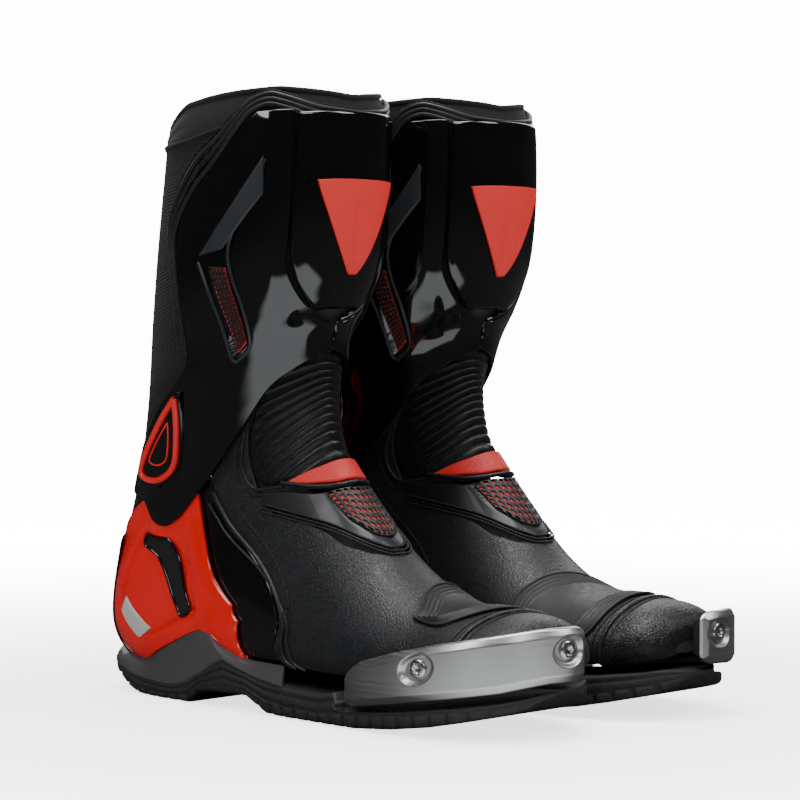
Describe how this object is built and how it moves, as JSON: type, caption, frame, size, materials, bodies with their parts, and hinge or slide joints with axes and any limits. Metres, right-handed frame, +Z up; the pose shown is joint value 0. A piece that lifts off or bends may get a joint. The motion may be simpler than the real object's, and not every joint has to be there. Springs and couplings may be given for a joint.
{
  "type": "riding boots",
  "caption": "Pair of motorcycle riding boots with gloss shin shells, flexing ankles, heel cups, toe sliders and zipped calves.",
  "frame": {"origin": "on the floor, at the middle of the pair's bounding box", "axes": "+Z up, toes towards -Y, the right boot towards -X and the left boot towards +X"},
  "size_m": [0.2192, 0.3297, 0.318],
  "materials": {
    "sole_rubber": "matt moulded rubber",
    "footbed_foam": "textile-topped foam",
    "lining_textile": "knitted lining",
    "black_leather": "fine-grained, slightly blue-black",
    "toe_leather": "fine-grained",
    "shift_rubber": "ribbed and textured",
    "instep_panel": "coated leather, satin to gloss",
    "red_tab": "coated, matt",
    "counter_gloss": "moulded gloss",
    "red_cup": "moulded gloss",
    "heel_mesh": "fine dotted mesh",
    "heel_pad": "silver-grey",
    "slider_alloy": "fine brushed",
    "screw_steel": "turned",
    "bellows_leather": "semi-gloss ribbed",
    "collar_microfibre": "brushed microfibre",
    "calf_textile": "ribbed stretch weave",
    "shell_gloss": "high gloss",
    "shin_plate": "high gloss",
    "shin_badge": "matt fluorescent red",
    "vent_frame": "satin",
    "ankle_badge": "moulded, satin",
    "zip_tape": "woven tape and teeth",
    "zip_metal": "dark metal",
    "calf_strap": "hook-and-loop backed textile"
  },
  "bodies": {
    "right_foot": {"right_outsole": "sole_rubber", "right_footbed": "footbed_foam", "right_foot_lining": "lining_textile", "right_vamp": "black_leather", "right_toe_cap": "toe_leather", "right_shift_pad": "shift_rubber", "right_instep_panel": "instep_panel", "right_instep_tab": "red_tab", "right_heel_counter": "counter_gloss", "right_heel_cup": "red_cup", "right_heel_vent": "heel_mesh", "right_heel_pad": "heel_pad", "right_toe_slider": "slider_alloy", "right_slider_screw_rear": "screw_steel", "right_slider_screw_front": "screw_steel", "right_bellows": "bellows_leather"},
    "right_shaft": {"right_shaft_lining": "lining_textile", "right_collar": "collar_microfibre", "right_calf_panel": "calf_textile", "right_shell_lateral": "shell_gloss", "right_shell_medial": "shell_gloss", "right_shin_plate": "shin_plate", "right_shin_badge": "shin_badge", "right_calf_vent": "vent_frame", "right_ankle_badge_lateral": "ankle_badge", "right_ankle_badge_medial": "ankle_badge", "right_zip_tape": "zip_tape"},
    "right_zip_slider": {"right_zip_slider": "zip_metal"},
    "right_zip_puller": {"right_zip_puller": "zip_metal"},
    "right_calf_strap": {"right_calf_strap": "calf_strap"},
    "left_foot": {"left_outsole": "sole_rubber", "left_footbed": "footbed_foam", "left_foot_lining": "lining_textile", "left_vamp": "black_leather", "left_toe_cap": "toe_leather", "left_shift_pad": "shift_rubber", "left_instep_panel": "instep_panel", "left_instep_tab": "red_tab", "left_heel_counter": "counter_gloss", "left_heel_cup": "red_cup", "left_heel_vent": "heel_mesh", "left_heel_pad": "heel_pad", "left_toe_slider": "slider_alloy", "left_slider_screw_rear": "screw_steel", "left_slider_screw_front": "screw_steel", "left_bellows": "bellows_leather"},
    "left_shaft": {"left_shaft_lining": "lining_textile", "left_collar": "collar_microfibre", "left_calf_panel": "calf_textile", "left_shell_lateral": "shell_gloss", "left_shell_medial": "shell_gloss", "left_shin_plate": "shin_plate", "left_shin_badge": "shin_badge", "left_calf_vent": "vent_frame", "left_ankle_badge_lateral": "ankle_badge", "left_ankle_badge_medial": "ankle_badge", "left_zip_tape": "zip_tape"},
    "left_zip_slider": {"left_zip_slider": "zip_metal"},
    "left_zip_puller": {"left_zip_puller": "zip_metal"},
    "left_calf_strap": {"left_calf_strap": "calf_strap"}
  },
  "joints": [
    {"name": "right_ankle_flex", "type": "hinge", "parent": "right_foot", "child": "right_shaft", "pos_m": [-0.0545, 0.0878, 0.13], "axis": [1, 0, 0], "range_deg": [-4, 12], "stiffness_Nm_per_rad": 20, "deforming": ["right_bellows", "right_calf_panel"]},
    {"name": "right_zip_travel", "type": "slide", "parent": "right_shaft", "child": "right_zip_slider", "axis": [-0.0523, 0.1432, -0.9883], "range_m": [0, 0.128]},
    {"name": "right_zip_puller_swing", "type": "hinge", "parent": "right_zip_slider", "child": "right_zip_puller", "pos_m": [-0.01945, 0.1009, 0.27174], "axis": [0.7261, -0.6737, -0.1372], "range_deg": [0, 110]},
    {"name": "right_calf_strap_swing", "type": "hinge", "parent": "right_shaft", "child": "right_calf_strap", "pos_m": [-0.034, 0.1126, 0.2212], "axis": [-0.0142, 0.1107, -0.9937], "range_deg": [0, 110]},
    {"name": "left_boot_lift", "type": "slide", "parent": "right_foot", "child": "left_foot", "axis": [0, 0, 1], "range_m": [0, 0.45]},
    {"name": "left_ankle_flex", "type": "hinge", "parent": "left_foot", "child": "left_shaft", "pos_m": [0.0545, 0.0828, 0.13], "axis": [1, 0, 0], "range_deg": [-4, 12], "stiffness_Nm_per_rad": 20, "deforming": ["left_bellows", "left_calf_panel"]},
    {"name": "left_zip_travel", "type": "slide", "parent": "left_shaft", "child": "left_zip_slider", "axis": [0.0523, 0.1432, -0.9883], "range_m": [0, 0.128]},
    {"name": "left_zip_puller_swing", "type": "hinge", "parent": "left_zip_slider", "child": "left_zip_puller", "pos_m": [0.01945, 0.0959, 0.27174], "axis": [0.7261, 0.6737, 0.1372], "range_deg": [0, 110]},
    {"name": "left_calf_strap_swing", "type": "hinge", "parent": "left_shaft", "child": "left_calf_strap", "pos_m": [0.034, 0.1076, 0.2212], "axis": [-0.0142, -0.1107, 0.9937], "range_deg": [0, 110]}
  ]
}
